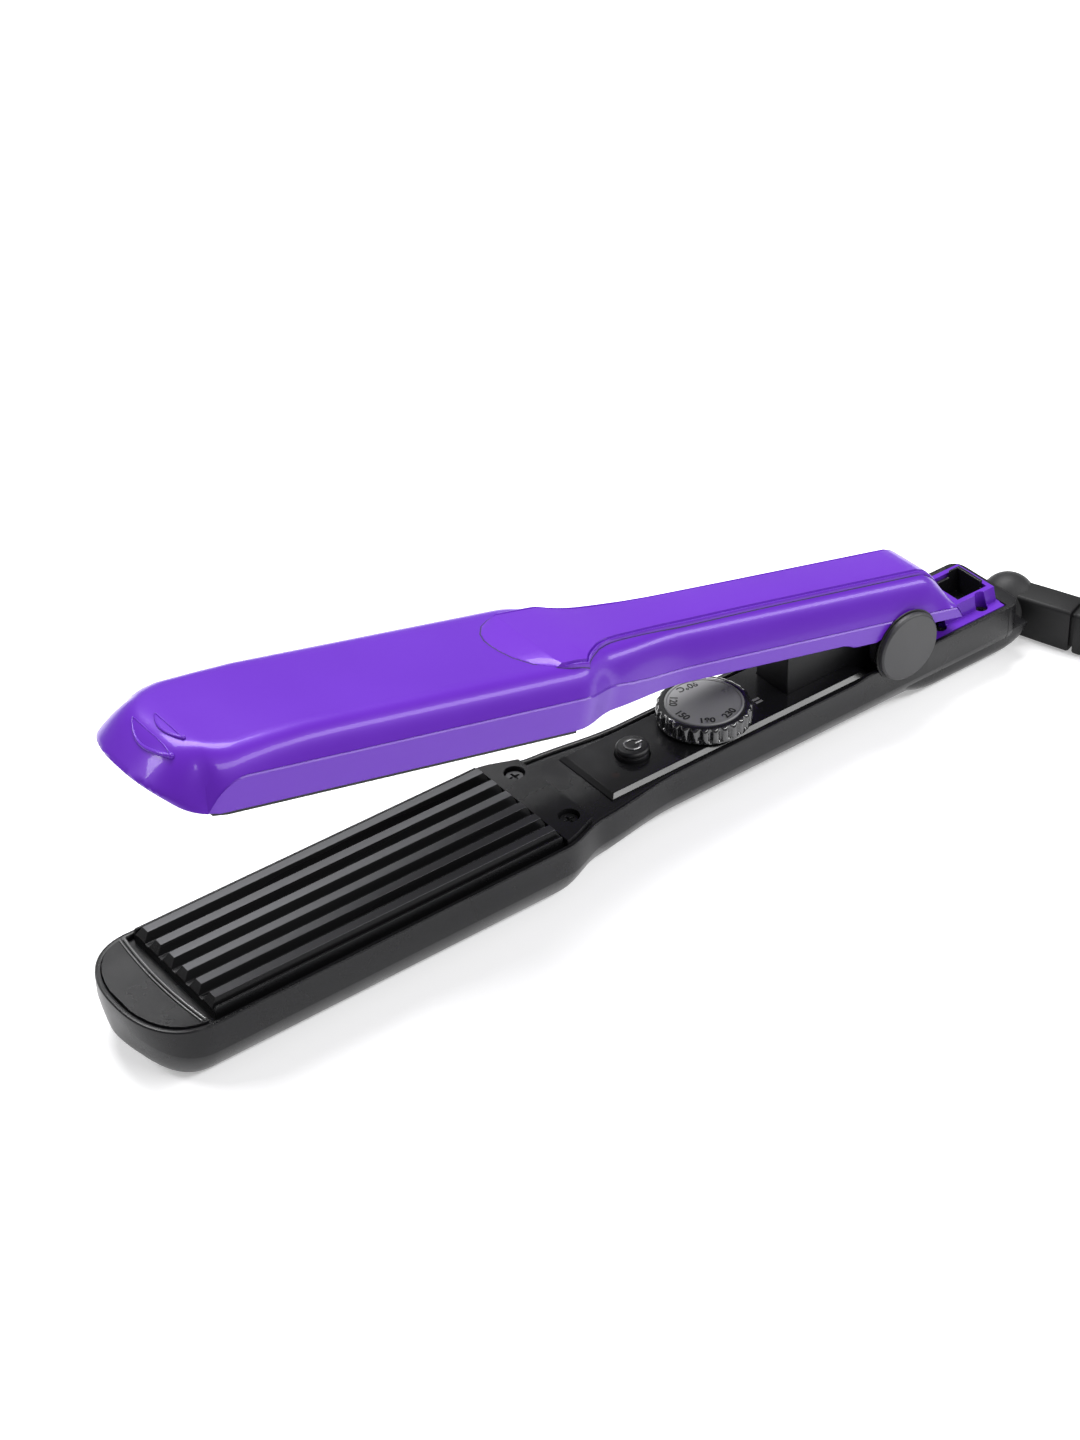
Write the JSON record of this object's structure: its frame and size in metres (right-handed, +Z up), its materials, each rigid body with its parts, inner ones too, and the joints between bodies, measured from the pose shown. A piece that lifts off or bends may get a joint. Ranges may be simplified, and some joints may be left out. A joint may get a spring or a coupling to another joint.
{
  "type": "hair crimper",
  "caption": "Hinged two-arm hair crimper with ridged heated plates, power button, temperature dial, sprung hinge and a swivelling mains cord.",
  "frame": {"origin": "on the table under the middle of the tool's body, on its mid plane", "axes": "+X runs along the lower arm from the rounded tip to the cord end, +Z is up, +Y is across the arms to the far side"},
  "size_m": [0.4063, 0.1094, 0.0921],
  "materials": {
    "board_green": "lacquered laminate",
    "boot_black": "matt moulded strain relief",
    "cap_grey": "satin",
    "carrier_resin": "heat-resistant moulding",
    "cord_black": "matt flexible cable jacket",
    "dial_silver": "silver-grey, satin",
    "dial_smoke": "dark translucent look, fluted",
    "heater_metal": "plain",
    "lens_dark": "small lamp lens, off",
    "mark_dark": "printed or moulded marks",
    "panel_black": "smooth, slightly glossy",
    "part_grey": "plain moulding",
    "pin_brass": "plated pins",
    "plate_coated": "dark ceramic-coated, satin",
    "plug_black": "moulded",
    "screw_dark": "blackened",
    "shell_black": "moulded, fine satin grain",
    "shell_violet": "soft-gloss lacquered plastic",
    "steel": "plain"
  },
  "bodies": {
    "lower_arm": {"lower_shell": "shell_black", "lower_tray": "shell_black", "lower_plate": "plate_coated", "lower_heater": "heater_metal", "lower_carrier": "carrier_resin", "deck_screws": "screw_dark", "handle_panel": "panel_black", "led_lens": "lens_dark", "circuit_board": "board_green", "tact_switch": "part_grey", "dial_pot": "part_grey", "hinge_block": "shell_black", "hinge_pin": "steel", "hinge_caps": "cap_grey", "return_spring": "steel", "rear_cover": "shell_violet", "pocket_insert": "shell_black", "cover_screws": "screw_dark", "swivel_collar": "part_grey", "cord_tube": "cord_black", "cord_tail": "cord_black", "cord_coil": "cord_black", "cord_tie": "plug_black", "plug_body": "plug_black", "plug_pins": "pin_brass"},
    "upper_arm": {"upper_shell": "shell_violet", "spine_panel": "shell_violet", "upper_plate": "plate_coated", "upper_heater": "heater_metal", "upper_carrier": "carrier_resin", "upper_tray": "shell_black", "upper_liner": "shell_black"},
    "power_button": {"power_button": "panel_black", "button_mark": "mark_dark"},
    "dial": {"dial_knob": "dial_smoke", "dial_face": "dial_silver", "dial_marks": "mark_dark"},
    "swivel": {"swivel_body": "cap_grey", "cord_boot": "boot_black"}
  },
  "joints": [
    {"name": "arm_hinge", "type": "hinge", "parent": "lower_arm", "child": "upper_arm", "pos_m": [0.0875, 0, 0.023], "axis": [0, 1, 0], "range_deg": [-14.4, 0], "stiffness_Nm_per_rad": 1, "springref_deg": 20.05},
    {"name": "button_press", "type": "slide", "parent": "lower_arm", "child": "power_button", "axis": [0, 0, -1], "range_m": [0, 0.001], "stiffness_N_per_m": 600, "springref_m": -0.0005},
    {"name": "dial_turn", "type": "hinge", "parent": "lower_arm", "child": "dial", "pos_m": [0.029, 0, 0.02], "axis": [0, 0, 1], "range_deg": [-290, 0]},
    {"name": "cord_swivel", "type": "hinge", "parent": "lower_arm", "child": "swivel", "pos_m": [0.1394, 0, 0.0082], "axis": [1, 0, 0], "continuous": true}
  ]
}
